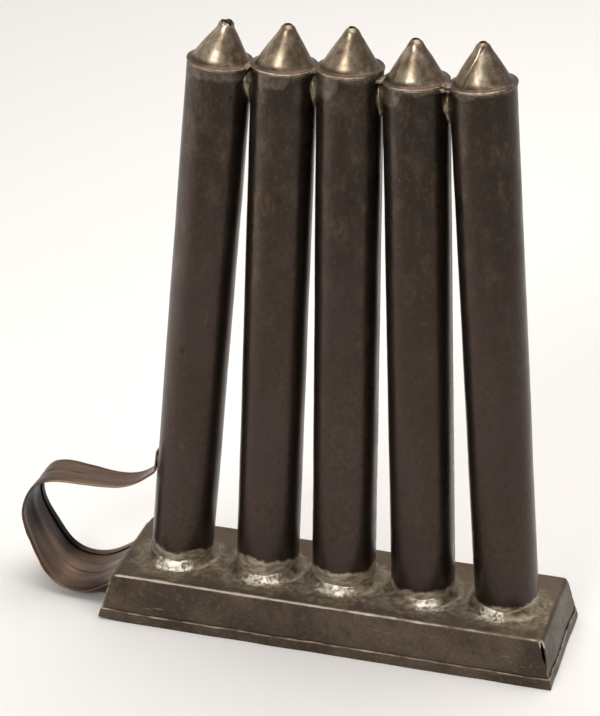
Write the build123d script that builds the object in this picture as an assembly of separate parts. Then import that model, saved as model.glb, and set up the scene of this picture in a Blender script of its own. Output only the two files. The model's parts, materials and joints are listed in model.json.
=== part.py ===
from build123d import *
from math import atan2, degrees, hypot
import os

# A tinplate candle mould for five candles. It stands on the rim of its upturned tray, with the
# wick tips at the top. X runs along the row of tubes, with the handle on the -X side, Y is the
# depth and Z is up from the floor. Every joint is soldered, so nothing moves.

# Sheet metal
sheet = 0.5  # tinplate of the tray
tube_sheet = 0.45  # tinplate of the tubes and tip caps
handle_sheet = 0.8  # the strap, folded over along its edges

# Tubes, measured from the top of the deck
foot_radius = 12.7
top_radius = 12.45
tube_rise = 215.4
rise_trims = (-0.7, 0.0, 1.2, -0.9, 0.4)  # no two tubes were cut alike
foot_pitch = 33.85
foot_offsets = (-1.1, 1.8, 0.1, -0.7, 0.0)  # the feet were set by eye
top_gap = 0.2  # between neighbours at their top ends
foot_tail = 1.2  # what stands out below the deck sheet
mouth_length = 12.0  # parallel from the deck up, before the taper starts

# Tip caps, measured from the cap's lower edge
cap_height = 16.0
cap_edge = 0.4  # upright edge of the brim
cap_brim_rise = 1.6
cap_cone_radius = 9.8  # where the brim turns up into the cone
cap_bend_radius = 3.0
wick_hole_radius = 1.3
wick_hole_lip = 0.08

# Tray, upside down, with the deck on top
deck_height = 19.9
left_margin = 9.0  # from the first tube to the fold of the deck
right_margin = 6.5
side_margin = 12.2
end_flare = 5.5  # how far the rim stands out past the fold
side_flare = 4.35
end_fold_radius = 3.0
side_fold_radius = 1.2
rim_hem_height = 4.5
rim_hem_proud = 0.6

# Handle, a strap that widens from the tube to the tray
tube_tab_bend = 57.6  # above the floor
tube_tab_length = 8.9  # up the tube from the bend
tray_tab_drop = 2.5  # from the deck down to the tab's end on the tray
tray_tab_length = 5.2
tab_bend_radius = 2.2
tube_end_width = 6.5
tray_end_width = 40.0
grip_corners = (  # out from the deck's fold, up from the floor, bend radius
    (0.0, 48.4, 14.0),
    (38.7, 50.6, 8.5),
    (45.4, 33.5, 9.0),
    (31.3, 9.2, 9.0),
    (18.0, 4.3, 14.0),
)

# Solder and the gaps that it fills
hole_gap = 0.15  # round a tube in the deck
joint_gap = 0.05  # between the handle's tabs and what they are soldered to
foot_solder_gap = 0.15  # between the solder of two neighbours
foot_solder_height = 3.0
tip_seam = 0.35  # between a tube and its cap
tip_seam_proud = 0.05
bridge_length = 14.0
bridge_drop = 0.6  # below the lower of the two tube ends
bridge_depth = 8.6
bridge_reach = 3.6  # to each side of the gap
seam_width = 0.4  # slit at each corner of the tray
seam_top = 2.0  # below the deck
seam_foot = 0.8  # above the floor
split_seam_top = 9.0  # the front right seam has come open above this height
tab_solder_margin = 1.0  # past the tab's edges
tab_solder_cover = 0.55  # up the tab's edges

tube_count = len(foot_offsets)
beyond = 5.0  # how far a cutting solid runs past what it cuts


def row_place(index, pitch):
    return (index - (tube_count - 1) / 2) * pitch


foot_x = [row_place(i, foot_pitch) + foot_offsets[i] for i in range(tube_count)]
top_x = [row_place(i, 2 * top_radius + top_gap) for i in range(tube_count)]
deck_left = foot_x[0] - foot_radius - left_margin
deck_right = foot_x[-1] + foot_radius + right_margin
deck_length = deck_right - deck_left
deck_width = 2 * (foot_radius + side_margin)
deck_middle = (deck_left + deck_right) / 2
tube_tab_top = tube_tab_bend + tube_tab_length
tray_tab_top = deck_height - tray_tab_drop
tray_tab_bend = tray_tab_top - tray_tab_length
end_slope = (end_flare - rim_hem_proud) / deck_height  # outward run of a wall for each mm down
side_slope = (side_flare - rim_hem_proud) / deck_height


class TubeAxis:
    """The leaning centre line of one tube, from the deck to the tube's top end."""

    def __init__(self, index):
        self.foot = Vector(foot_x[index], 0, deck_height)
        self.top = Vector(top_x[index], 0, deck_height + tube_rise + rise_trims[index])
        run = self.top - self.foot
        self.length = run.length
        self.direction = run.normalized()
        self.lean = run.X / run.Z  # sideways run for each mm up

    def plane(self, distance):
        return Plane(self.foot + self.direction * distance, x_dir=(0, 1, 0), z_dir=self.direction)

    def radius(self, distance):
        taper = (foot_radius - top_radius) / (self.length - mouth_length)
        return foot_radius - taper * max(distance - mouth_length, 0)

    def x(self, z):
        return self.foot.X + self.lean * (z - deck_height)

    def side_x(self, z):
        """Where the tube's -X side is at a height."""
        return self.x(z) - self.radius(z - deck_height) * hypot(1, self.lean)

    def end_z(self, side):
        """How high the tube's cut top end is on its -X side, -1, or its +X side, 1."""
        return self.top.Z - side * top_radius * self.direction.X


axes = [TubeAxis(i) for i in range(tube_count)]


def end_wall_x(z):
    """Where the outer face of the tray's -X wall is at a height."""
    return deck_left - (deck_height - z) * end_slope


def slab(low, high):
    """A slab wider than the whole mould between two heights."""
    size = 4 * (deck_length + tube_rise)
    return Pos(0, 0, low) * Box(size, size, high - low, align=(Align.CENTER, Align.CENTER, Align.MIN))


def tapered(axis, grow, low, high):
    """A tube as a solid between two distances along its axis, made larger all round by grow."""
    stops = (low, mouth_length, high) if low < mouth_length < high else (low, high)
    edge = [(axis.radius(stop) + grow, stop) for stop in stops]
    outline = Polyline((0, low), *edge, (0, high), close=True)
    return axis.plane(0) * revolve(Plane.XZ * make_face(outline), Axis.Z)


def make_tube(axis):
    low = -sheet - foot_tail - beyond
    outside = tapered(axis, 0, low, axis.length)
    inside = tapered(axis, -tube_sheet, low - 1, axis.length + 1)
    under = slab(-deck_height, deck_height - sheet - foot_tail)
    return outside - inside - under


def make_cap(axis):
    """A brimmed cone of one sheet, with the wick hole at its point."""
    slope = (cap_height - cap_brim_rise) / (cap_cone_radius - wick_hole_radius - wick_hole_lip)
    lift = tube_sheet * hypot(1, slope)  # the cone's thickness, measured straight up
    hole_foot = cap_height + wick_hole_lip * slope - lift
    brim_foot = (cap_cone_radius - (lift - cap_edge) / slope, cap_brim_rise - cap_edge)
    outline = Polyline(
        (top_radius, 0),
        (top_radius, cap_edge),
        (cap_cone_radius, cap_brim_rise),
        (wick_hole_radius + wick_hole_lip, cap_height),
        (wick_hole_radius, cap_height),
        (wick_hole_radius, hole_foot),
        brim_foot,
        (top_radius - tube_sheet, 0),
        close=True,
    )
    face = make_face(outline)
    bends = (((cap_cone_radius, cap_brim_rise), cap_bend_radius), (brim_foot, cap_bend_radius + tube_sheet))
    for point, radius in bends:
        face = fillet(face.vertices().sort_by_distance(point)[0], radius)
    return axis.plane(axis.length + tip_seam) * revolve(Plane.XZ * face, Axis.Z)


def make_tip_solder(axis):
    plane = axis.plane(axis.length)
    align = (Align.CENTER, Align.CENTER, Align.MIN)
    ring = Cylinder(top_radius + tip_seam_proud, tip_seam, align=align)
    return plane * (ring - Cylinder(top_radius - tube_sheet, tip_seam, align=align))


def wall_outline(top, slope, fold_radius, grow):
    """The tray's end or side view, run on below the floor, then grown by a distance."""
    low = top / 2 + (deck_height + beyond) * slope
    outline = Polyline(
        (-top / 2, deck_height),
        (top / 2, deck_height),
        (low, -beyond),
        (-low, -beyond),
        close=True,
    )
    face = make_face(outline)
    face = fillet(face.vertices().group_by(Axis.Y)[-1], fold_radius)
    return offset(face, grow, kind=Kind.INTERSECTION) if grow else face


def tray_block(grow):
    """The tray as a solid block, grown outward by a distance."""
    front_view = wall_outline(deck_length, end_slope, end_fold_radius, grow)
    end_view = wall_outline(deck_width, side_slope, side_fold_radius, grow)
    along = extrude(Plane.XZ * front_view, deck_length, both=True)
    across = extrude(Plane.YZ * end_view, deck_length, both=True)
    block = (along & across) - slab(-2 * beyond, 0)
    return Pos(deck_middle, 0, 0) * block


def corner_slit(side_x, side_y, top):
    """A thin upright board through one corner of the tray, from under the floor up to a height."""
    end_run = end_slope * deck_height
    side_run = side_slope * deck_height
    corner_x = deck_middle + side_x * (deck_length + end_run) / 2
    corner_y = side_y * (deck_width + side_run) / 2
    turn = degrees(atan2(side_y * side_run, side_x * end_run))
    length = 2 * hypot(end_run, side_run) + 2 * beyond
    board = Box(length, seam_width, top + beyond, align=(Align.CENTER, Align.CENTER, Align.MIN))
    return Pos(corner_x, corner_y, -beyond) * Rot(0, 0, turn) * board


def make_tray():
    """The tray with its holes, and its sheet before the corners were slit."""
    body = tray_block(0)
    hem = (tray_block(rim_hem_proud) - body) & slab(0, rim_hem_height)
    uncut = body + hem - tray_block(-sheet)
    for axis in axes:
        uncut -= tapered(axis, hole_gap, -beyond, beyond)
    tray = uncut
    for side_x, side_y in corner_sides.values():
        tray -= corner_slit(side_x, side_y, deck_height - seam_top)
    return tray, uncut


corner_sides = {
    "front_left": (-1, -1),
    "front_right": (1, -1),
    "back_left": (-1, 1),
    "back_right": (1, 1),
}


def make_corner_solder(name, uncut):
    side_x, side_y = corner_sides[name]
    top = split_seam_top if name == "front_right" else deck_height - seam_top
    return (corner_slit(side_x, side_y, top) & uncut) - slab(-beyond, seam_foot)


def make_foot_solder(axis):
    """A skirt of solder on the deck, hollow in section, that hugs the leaning tube."""
    spacing = min(foot_x[i + 1] - foot_x[i] for i in range(tube_count - 1))
    reach = (spacing - foot_solder_gap) / 2 - foot_radius
    steps = ((0, 1), (0.25, 0.42), (1, 0.1))  # share of the height, share of the reach
    rings = []
    for up, out in steps:
        z = deck_height + up * foot_solder_height
        rings.append(Pos(axis.x(z), 0, z) * Circle(foot_radius + out * reach))
    return loft(rings, ruled=True) - tapered(axis, 0, -beyond, 2 * foot_solder_height)


def make_bridge_solder(left, right):
    """Solder run into the gap between two tubes, just under their top ends."""
    top_z = min(left.end_z(1), right.end_z(-1)) - bridge_drop
    middle_x = (left.x(top_z) + right.x(top_z)) / 2
    turn = degrees(atan2((left.lean + right.lean) / 2, 1))
    align = (Align.CENTER, Align.CENTER, Align.MAX)
    block = Box(2 * bridge_reach, bridge_depth, bridge_length, align=align)
    block = Pos(middle_x, 0, top_z) * Rot(0, turn, 0) * block
    for axis in (left, right):
        block -= tapered(axis, 0, 0, axis.length)
    return block


def handle_route():
    """The strap's centre line, from its tab on the first tube down to its tab on the tray."""
    off = handle_sheet / 2 + joint_gap
    tube_tab = [(axes[0].side_x(z) - off, 0, z) for z in (tube_tab_top, tube_tab_bend)]
    tray_tab = [(end_wall_x(z) - off, 0, z) for z in (tray_tab_bend, tray_tab_top)]
    grip = [(deck_left - out, 0, z) for out, z, _ in grip_corners]
    bends = [tab_bend_radius] + [radius for _, _, radius in grip_corners] + [tab_bend_radius]
    return FilletPolyline(*tube_tab, *grip, *tray_tab, radius=bends)


def make_handle():
    route = handle_route()
    ends = []
    for share, width in ((0, tube_end_width), (1, tray_end_width)):
        plane = Plane(route @ share, x_dir=(0, 1, 0), z_dir=route % share)
        ends.append(plane * Rectangle(width, handle_sheet))
    return sweep(ends, path=route, multisection=True)


def make_tube_tab_solder(handle):
    """Solder between the strap's tab and the first tube, and round the tab's edges."""
    axis = axes[0]
    low = tube_tab_bend + tab_bend_radius
    high = tube_tab_top + tab_solder_margin
    middle = (low + high) / 2
    tab_share = tube_tab_length / handle_route().length
    tab_width = tube_end_width + (tray_end_width - tube_end_width) * tab_share
    width = tab_width + 2 * tab_solder_margin
    cover = tab_solder_cover + joint_gap
    hollow = width**2 / 8 / foot_radius  # how far the round tube falls away from a flat tab
    pad = Box(cover + hollow, width, high - low, align=(Align.MIN, Align.CENTER, Align.CENTER))
    turn = degrees(atan2(axis.lean, 1))
    pad = Pos(axis.side_x(middle) - cover, 0, middle) * Rot(0, turn, 0) * pad
    return pad - tapered(axis, 0, 0, axis.length) - handle


def make_tray_tab_solder(handle):
    """Solder between the strap's lower tab and the tray's end wall, and round the tab's edges."""
    low = tray_tab_bend + tab_solder_margin
    high = tray_tab_top + tab_solder_margin
    middle = (low + high) / 2
    width = tray_end_width + 2 * tab_solder_margin
    cover = tab_solder_cover + joint_gap
    pad = Box(cover, width, high - low, align=(Align.MAX, Align.CENTER, Align.CENTER))
    turn = degrees(atan2(end_slope, 1))
    pad = Pos(end_wall_x(middle), 0, middle) * Rot(0, turn, 0) * pad
    return pad - tray_block(0) - handle


def build_nodes():
    nodes = {}
    tray, uncut_tray = make_tray()
    nodes["tray"] = tray
    for name in corner_sides:
        nodes[f"corner_solder_{name}"] = make_corner_solder(name, uncut_tray)
    for number, axis in enumerate(axes, 1):
        nodes[f"tube_{number}"] = make_tube(axis)
        nodes[f"foot_solder_{number}"] = make_foot_solder(axis)
        nodes[f"tip_solder_{number}"] = make_tip_solder(axis)
        nodes[f"tip_cap_{number}"] = make_cap(axis)
    for number in range(1, tube_count):
        left, right = axes[number - 1], axes[number]
        nodes[f"bridge_solder_{number}"] = make_bridge_solder(left, right)
    nodes["handle"] = make_handle()
    nodes["handle_solder_tube"] = make_tube_tab_solder(nodes["handle"])
    nodes["handle_solder_tray"] = make_tray_tab_solder(nodes["handle"])
    return nodes


nodes = build_nodes()
bounds = [shape.bounding_box() for shape in nodes.values()]
row_shift = -(min(box.min.X for box in bounds) + max(box.max.X for box in bounds)) / 2

os.makedirs("parts", exist_ok=True)
for name, shape in nodes.items():
    # the origin is on the floor, under the middle of the whole mould
    export_step(Pos(row_shift, 0, 0) * shape, f"parts/{name}.step")
print(f"row_shift {row_shift:.3f}, deck {deck_length:.1f} x {deck_width:.1f}")
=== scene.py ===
import json
import math
import bmesh
import bpy
from mathutils import Matrix, Vector, noise


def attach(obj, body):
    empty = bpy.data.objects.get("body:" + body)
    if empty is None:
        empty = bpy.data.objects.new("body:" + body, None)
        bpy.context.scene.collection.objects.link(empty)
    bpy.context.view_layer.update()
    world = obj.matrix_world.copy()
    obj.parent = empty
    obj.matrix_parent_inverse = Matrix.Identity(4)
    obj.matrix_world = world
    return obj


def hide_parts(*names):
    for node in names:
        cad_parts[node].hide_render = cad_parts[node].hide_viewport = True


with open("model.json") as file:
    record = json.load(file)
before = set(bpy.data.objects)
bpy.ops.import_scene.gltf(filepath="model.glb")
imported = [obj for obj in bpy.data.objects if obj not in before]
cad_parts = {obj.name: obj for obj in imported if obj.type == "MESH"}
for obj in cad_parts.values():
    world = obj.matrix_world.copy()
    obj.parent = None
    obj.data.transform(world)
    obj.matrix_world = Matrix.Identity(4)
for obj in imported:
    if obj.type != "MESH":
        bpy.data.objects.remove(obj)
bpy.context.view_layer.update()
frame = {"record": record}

toMetres = Matrix.Scale(0.001, 4)  # the pieces are modelled in millimetres
mounts = {mount["name"]: mount for mount in frame["record"]["mounts"]}
deckHeight = 19.9
tubeCount = 5
degreesInRadian = 57.3


# 0 below low, 1 above high
def smooth(value, low, high):
    t = min(max((value - low) / (high - low), 0.0), 1.0)
    return t * t * (3 - 2 * t)


# smooth noise from -1 to 1, with lumps of about that size
def lumps(x, y, z, size, seed):
    spot = (x / size + seed * 7.31, y / size + seed * 3.17, z / size + seed * 1.73)
    return noise.noise(Vector(spot))


# a hump 1 high at 0 that falls away over that width
def hump(distance, width):
    return math.exp(-(distance / width) ** 2)


# radius, angle in degrees and the direction straight out
def polar(x, y):
    radius = math.hypot(x, y)
    return radius, math.degrees(math.atan2(y, x)), Vector((x, y, 0)) / radius


# how far one direction is from another, in degrees
def turnBetween(angle, middle):
    return abs((angle - middle + 180) % 360 - 180)


# a material and the few nodes that the metals here are painted with
class Finish:
    def __init__(self, name, metallic=1.0):
        self.material = bpy.data.materials.new(name)
        self.material.use_nodes = True
        self.tree = self.material.node_tree
        self.tree.nodes.clear()
        self.shader = self.add("ShaderNodeBsdfPrincipled")
        self.shader.inputs["Metallic"].default_value = metallic
        output = self.add("ShaderNodeOutputMaterial")
        self.tree.links.new(self.shader.outputs[0], output.inputs[0])
        self.grain = self.add("ShaderNodeAttribute", attribute_name="grain").outputs["Vector"]

    def add(self, kind, **settings):
        node = self.tree.nodes.new(kind)
        for name, value in settings.items():
            setattr(node, name, value)
        return node

    def feed(self, socket, value):
        if isinstance(value, bpy.types.NodeSocket):
            self.tree.links.new(value, socket)
        else:
            socket.default_value = value

    def field(self, name):
        return self.add("ShaderNodeAttribute", attribute_name=name).outputs["Fac"]

    # noise with blotches of about that many millimetres
    def mottle(self, size, detail=4.0, stretch=None, swirl=0.0):
        vector = self.grain
        if stretch:
            mapping = self.add("ShaderNodeMapping")
            mapping.inputs["Scale"].default_value = stretch
            self.feed(mapping.inputs["Vector"], vector)
            vector = mapping.outputs[0]
        node = self.add("ShaderNodeTexNoise")
        self.feed(node.inputs["Vector"], vector)
        node.inputs["Scale"].default_value = 1000 / size
        node.inputs["Detail"].default_value = detail
        node.inputs["Distortion"].default_value = swirl
        return node.outputs[0]

    def step(self, value, low, high, start=0.0, end=1.0):
        node = self.add("ShaderNodeMapRange", interpolation_type="SMOOTHSTEP")
        for socket, number in zip(node.inputs, (value, low, high, start, end)):
            self.feed(socket, number)
        return node.outputs[0]

    def combine(self, operation, first, second):
        node = self.add("ShaderNodeMath", operation=operation)
        self.feed(node.inputs[0], first)
        self.feed(node.inputs[1], second)
        return node.outputs[0]

    def plus(self, first, second):
        return self.combine("ADD", first, second)

    def times(self, first, second):
        return self.combine("MULTIPLY", first, second)

    def mix(self, share, first, second):
        node = self.add("ShaderNodeMix", data_type="RGBA")
        self.feed(node.inputs[0], share)
        for socket, colour in ((node.inputs[6], first), (node.inputs[7], second)):
            isPlain = not isinstance(colour, bpy.types.NodeSocket)
            self.feed(socket, (*colour, 1.0) if isPlain else colour)
        return node.outputs[2]

    # the same for plain numbers
    def blend(self, share, first, second):
        node = self.add("ShaderNodeMix", data_type="FLOAT")
        for socket, value in zip(node.inputs[:1] + node.inputs[2:4], (share, first, second)):
            self.feed(socket, value)
        return node.outputs[0]

    # a colour over another in blotches, which start where the noise passes low and are
    # whole above high; where, if given, thins them out
    def blotches(self, under, colour, size, detail, low, high, most=1.0, stretch=None,
                 swirl=0.0, where=None):
        share = self.step(self.mottle(size, detail, stretch, swirl), low, high, 0.0, most)
        if where is not None:
            share = self.times(share, where)
        return self.mix(share, under, colour)

    # a field of the mesh with its edges made uneven by up to reach
    def ragged(self, name, size, detail, reach, stretch=None):
        uneven = self.step(self.mottle(size, detail, stretch), 0, 1, -reach, reach)
        return self.plus(self.field(name), uneven)

    # a roughness that wanders between two values
    def sheen(self, size, detail, smoothest, roughest, stretch=None):
        return self.step(self.mottle(size, detail, stretch), 0.3, 0.7, smoothest, roughest)

    # connects the colour, the roughness and a bump of that many millimetres
    def wear(self, colour, roughness, height=None, depth=0.1):
        self.feed(self.shader.inputs["Base Color"], colour)
        self.feed(self.shader.inputs["Roughness"], roughness)
        if height is not None:
            bump = self.add("ShaderNodeBump")
            bump.inputs["Strength"].default_value = 1.0
            bump.inputs["Distance"].default_value = depth * 0.001
            self.feed(bump.inputs["Height"], height)
            self.feed(self.shader.inputs["Normal"], bump.outputs[0])
        return self.material


# tin-lead solder gone dull, with pale patches of painted highlight in it
def solderColour(finish):
    dull = finish.blotches(
        (0.145, 0.112, 0.077), (0.320, 0.258, 0.182), 2.4, 6.0, low=0.35, high=0.68)
    olive = finish.blotches(dull, (0.245, 0.196, 0.122), 7.0, 3.0, low=0.5, high=0.66, most=0.6)
    patches = finish.step(finish.mottle(1.9, 8.0, swirl=0.8), 0.2, 0.8, 0.0, 2.0)
    # painted highlight: pale, patchy solder where the mesh field is high
    paintedHighlight = finish.step(finish.times(finish.field("paintedHighlight"), patches), 0.30, 1.35)
    return finish.mix(paintedHighlight, olive, (0.78, 0.72, 0.62))


def tubeTin():
    finish = Finish("tubeTin", metallic=0.8)
    aged = finish.field("aged")
    base = finish.blotches(
        (0.047, 0.032, 0.024), (0.067, 0.047, 0.035), 34, 3.0, low=0.3, high=0.7,
        stretch=(1, 1, 0.35))
    streaks = finish.blotches(
        base, (0.070, 0.047, 0.033), 8, 5.0, low=0.45, high=0.75, most=0.7, stretch=(1, 1, 0.10))
    # darker towards the top of the tube, with the lighter mottling only up there
    darker = finish.mix(finish.times(aged, 0.58), streaks, (0.018, 0.012, 0.0085))
    clouds = finish.blotches(
        darker, (0.088, 0.065, 0.046), 5.0, 10.0, low=0.42, high=0.78, stretch=(1, 1, 0.5),
        where=aged)
    flecks = finish.blotches(
        clouds, (0.086, 0.066, 0.047), 1.3, 6.0, low=0.50, high=0.70, most=0.6, stretch=(1, 1, 0.6),
        where=aged)
    fine = finish.blotches(
        flecks, (0.034, 0.026, 0.020), 1.5, 4.0, low=0.36, high=0.64, most=0.55,
        stretch=(1, 1, 0.7))
    rusty = finish.step(finish.mottle(42, 2.0), 0.60, 0.70, 0.0, 0.6)
    rust = finish.blotches(
        fine, (0.125, 0.066, 0.032), 2.4, 5.0, low=0.54, high=0.70, stretch=(1, 1, 0.25),
        where=rusty)
    specks = finish.blotches(rust, (0.16, 0.13, 0.095), 1.0, 2.0, low=0.71, high=0.78, most=0.6)
    stains = finish.blotches(specks, (0.014, 0.011, 0.010), 7.0, 4.0, low=0.66, high=0.76, most=0.7)
    plum = finish.blotches(
        stains, (0.056, 0.036, 0.034), 30, 2.0, low=0.45, high=0.62, most=0.6,
        where=finish.combine("SUBTRACT", 1.0, aged))
    tinned = finish.step(finish.ragged("solder", 2.6, 4.0, 0.42), -0.2, 0.34)
    atTop = finish.blotches(
        (0.060, 0.046, 0.033), (0.112, 0.090, 0.066), 2.0, 6.0, low=0.35, high=0.65)
    atFoot = finish.blotches(
        (0.24, 0.195, 0.140), (0.52, 0.445, 0.340), 2.2, 6.0, low=0.35, high=0.65,
        stretch=(0.5, 0.5, 1.4))
    colour = finish.mix(tinned, plum, finish.mix(aged, atFoot, atTop))
    finish.feed(finish.shader.inputs["Metallic"], finish.blend(tinned, 0.8, 0.5))
    bare, soldered = finish.sheen(14, 5.0, 0.27, 0.36), finish.sheen(2.4, 4.0, 0.28, 0.44)
    pits = finish.times(finish.mottle(1.4, 4.0), 0.09)
    blobs = finish.times(finish.times(finish.mottle(2.6, 4.0), 0.35), tinned)
    height = finish.plus(finish.plus(pits, blobs), finish.times(tinned, 0.45))
    return finish.wear(colour, finish.blend(tinned, bare, soldered), height, depth=0.07)


def tipTin():
    finish = Finish("tipTin", metallic=0.76)
    base = finish.blotches((0.33, 0.255, 0.172), (0.52, 0.435, 0.325), 8, 4.0, low=0.35, high=0.65)
    dark = finish.blotches(
        base, (0.150, 0.108, 0.070), 3.2, 7.0, low=0.48, high=0.70, most=0.85, stretch=(1, 1, 0.4))
    specks = finish.blotches(dark, (0.11, 0.078, 0.054), 0.9, 4.0, low=0.58, high=0.70, most=0.7)
    tarnish = finish.blotches(
        specks, (0.205, 0.140, 0.088), 4.5, 6.0, low=0.47, high=0.62, most=0.6, stretch=(1, 1, 0.5))
    # painted shade: dark brown in the brim's crease, round the wick hole, along the lap's edge and
    # down the right flank
    paintedShade = finish.step(finish.ragged("paintedShade", 2.5, 5.0, 0.25), 0.05, 0.95)
    colour = finish.mix(paintedShade, tarnish, (0.080, 0.052, 0.036))
    roughness = finish.sheen(5, 5.0, 0.27, 0.36)
    return finish.wear(colour, roughness, finish.mottle(1.8, 4.0), depth=0.012)


def trayTin():
    finish = Finish("trayTin", metallic=0.85)
    base = finish.blotches(
        (0.070, 0.050, 0.036), (0.136, 0.102, 0.076), 24, 5.0, low=0.35, high=0.65)
    dark = finish.blotches(
        base, (0.060, 0.043, 0.031), 9, 9.0, low=0.46, high=0.74, most=0.6, swirl=0.3)
    clouds = finish.blotches(dark, (0.155, 0.118, 0.084), 2.2, 9.0, low=0.50, high=0.74, most=0.6)
    fine = finish.blotches(clouds, (0.052, 0.038, 0.028), 0.8, 4.0, low=0.40, high=0.66, most=0.45)
    specks = finish.blotches(fine, (0.27, 0.215, 0.155), 1.2, 3.0, low=0.66, high=0.76, most=0.7)
    scratches = finish.blotches(
        specks, (0.30, 0.24, 0.18), 1.2, 3.0, low=0.68, high=0.76, most=0.8, stretch=(0.12, 1, 1))
    rusty = finish.step(finish.mottle(22, 2.0), 0.46, 0.62, 0.0, 0.85)
    rust = finish.blotches(
        scratches, (0.125, 0.068, 0.038), 2.6, 5.0, low=0.54, high=0.70, where=rusty)
    sooty = finish.blotches(rust, (0.040, 0.028, 0.021), 13, 6.0, low=0.54, high=0.68, most=0.5)
    # the deck's top is made a lighter tan than the walls
    lighterDeck = finish.mix(finish.times(finish.field("deck"), 0.35), sooty, (0.200, 0.150, 0.102))
    halo = finish.step(finish.ragged("halo", 5.0, 6.0, 0.5), -0.15, 0.6)
    soldered = finish.mix(halo, lighterDeck, solderColour(finish))
    # wear and painted highlight: a pale line along the top folds, stronger to the left, and on the
    # hem's top edge; bare worn metal at the crack
    wearAndHighlight = finish.step(finish.ragged("wearAndHighlight", 4.0, 5.0, 0.45, stretch=(0.5, 1, 1)), 0.2, 0.75)
    colour = finish.mix(wearAndHighlight, soldered, (0.50, 0.44, 0.355))
    finish.feed(finish.shader.inputs["Metallic"], finish.blend(halo, 0.85, 0.65))
    dullDeck = finish.times(finish.field("deck"), 0.14)
    roughness = finish.plus(finish.sheen(6, 6.0, 0.38, 0.52), dullDeck)
    height = finish.plus(finish.times(finish.mottle(2.6, 5.0), 0.4), finish.times(halo, 0.3))
    return finish.wear(colour, roughness, height, depth=0.10)


def handleTin():
    finish = Finish("handleTin")
    base = finish.blotches(
        (0.130, 0.086, 0.064), (0.225, 0.153, 0.115), 18, 4.0, low=0.35, high=0.65,
        stretch=(1, 0.4, 1))
    streaks = finish.blotches(
        base, (0.285, 0.155, 0.088), 3.0, 5.0, low=0.50, high=0.70, most=0.8, stretch=(1, 0.10, 1))
    dark = finish.blotches(
        streaks, (0.060, 0.041, 0.032), 2.4, 5.0, low=0.54, high=0.72, stretch=(1, 0.07, 1))
    # painted shade: near black inside the loop's bend and along its far side, standing in for the
    # dark tubes it reflects
    shadedInside = finish.mix(finish.field("paintedShade"), dark, (0.011, 0.008, 0.0075))
    # wear and painted highlight: pale along the strap's folded edges and its middle ridge
    wearAndHighlight = finish.step(finish.ragged("wearAndHighlight", 2.5, 4.0, 0.4), 0.3, 0.8)
    colour = finish.mix(wearAndHighlight, shadedInside, (0.23, 0.175, 0.13))
    roughness = finish.sheen(5, 5.0, 0.30, 0.46, stretch=(1, 0.3, 1))
    height = finish.mottle(1.8, 5.0, stretch=(1, 0.2, 1))
    return finish.wear(colour, roughness, height, depth=0.04)


def oldSolder():
    finish = Finish("oldSolder", metallic=0.65)
    roughness = finish.sheen(2.4, 4.0, 0.30, 0.48)
    return finish.wear(solderColour(finish), roughness, finish.mottle(2.2, 4.0), depth=0.07)


finishes = {
    "tube_tin": tubeTin(),
    "tip_tin": tipTin(),
    "tray_tin": trayTin(),
    "handle_tin": handleTin(),
    "solder": oldSolder(),
}
print("finishes ready")


# a number on every point of the mesh, for the finishes to read
def newField(bm, name):
    return bm.verts.layers.float.new(name)


# keeps each point's place before it is moved to the mould, for the patterns to follow
def markGrain(bm, seed):
    layer = bm.verts.layers.float_vector.get("grain") or bm.verts.layers.float_vector.new("grain")
    for vert in bm.verts:
        vert[layer] = vert.co * 0.001 + Vector((seed * 0.37, seed * 0.53, seed * 0.71))


# makes the piece's object; thickness, in millimetres, turns an open sheet into a solid one
def finishPiece(bm, name, node, slot, place=None, crease=35.0, thickness=None):
    if place:
        bm.transform(place)
    bm.transform(toMetres)
    mesh = bpy.data.meshes.new(name)
    bm.to_mesh(mesh)
    bm.free()
    piece = bpy.data.objects.new(name, mesh)
    bpy.context.collection.objects.link(piece)
    if thickness:
        sheet = piece.modifiers.new("sheet", "SOLIDIFY")
        sheet.thickness = thickness * 0.001
        sheet.offset = 0
        sheet.use_even_offset = True
        depsgraph = bpy.context.evaluated_depsgraph_get()
        whole = bpy.data.meshes.new_from_object(piece.evaluated_get(depsgraph))
        piece.modifiers.clear()
        piece.data = whole
        whole.name = name
    piece.data.shade_smooth()
    piece.data.set_sharp_from_angle(angle=math.radians(crease))
    piece.data.materials.clear()
    piece.data.materials.append(finishes[slot])
    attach(piece, "root")
    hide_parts(node)
    return piece


# a closed outline of (radius, height) points turned all the way round
def spinProfile(points, steps):
    bm = bmesh.new()
    verts = [bm.verts.new((radius, 0, height)) for radius, height in points]
    edges = [bm.edges.new((verts[i - 1], verts[i])) for i in range(len(verts))]
    bmesh.ops.spin(bm, geom=verts + edges, cent=(0, 0, 0), axis=(0, 0, 1), dvec=(0, 0, 0),
                   angle=math.tau, steps=steps, use_merge=True, use_duplicate=False)
    bmesh.ops.remove_doubles(bm, verts=bm.verts, dist=0.001)
    bmesh.ops.recalc_face_normals(bm, faces=bm.faces)
    return bm


# the leaning centre line of one tube, in millimetres
class TubeLine:
    def __init__(self, number):
        mouth, wick = mounts[f"candle_mouth_{number}"], mounts[f"wick_hole_{number}"]
        start, end = Vector(mouth["pos_m"]) * 1000, Vector(wick["pos_m"]) * 1000
        self.up = (end - start).normalized()
        self.foot = start + self.up * ((deckHeight - start.z) / self.up.z)
        self.lean = self.up.x / self.up.z
        tipLength = tipCap["height"] + tipCap["seam"] - wick["dims"]["length_mm"] / 2
        self.length = (end - self.foot).length - tipLength
        side = Vector((self.up.z, 0, -self.up.x))
        turn = Matrix((side, (0, 1, 0), self.up)).transposed().to_4x4()
        self.place = Matrix.Translation(self.foot) @ turn

    def at(self, height):
        return self.place @ Vector((0, 0, height))


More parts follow.
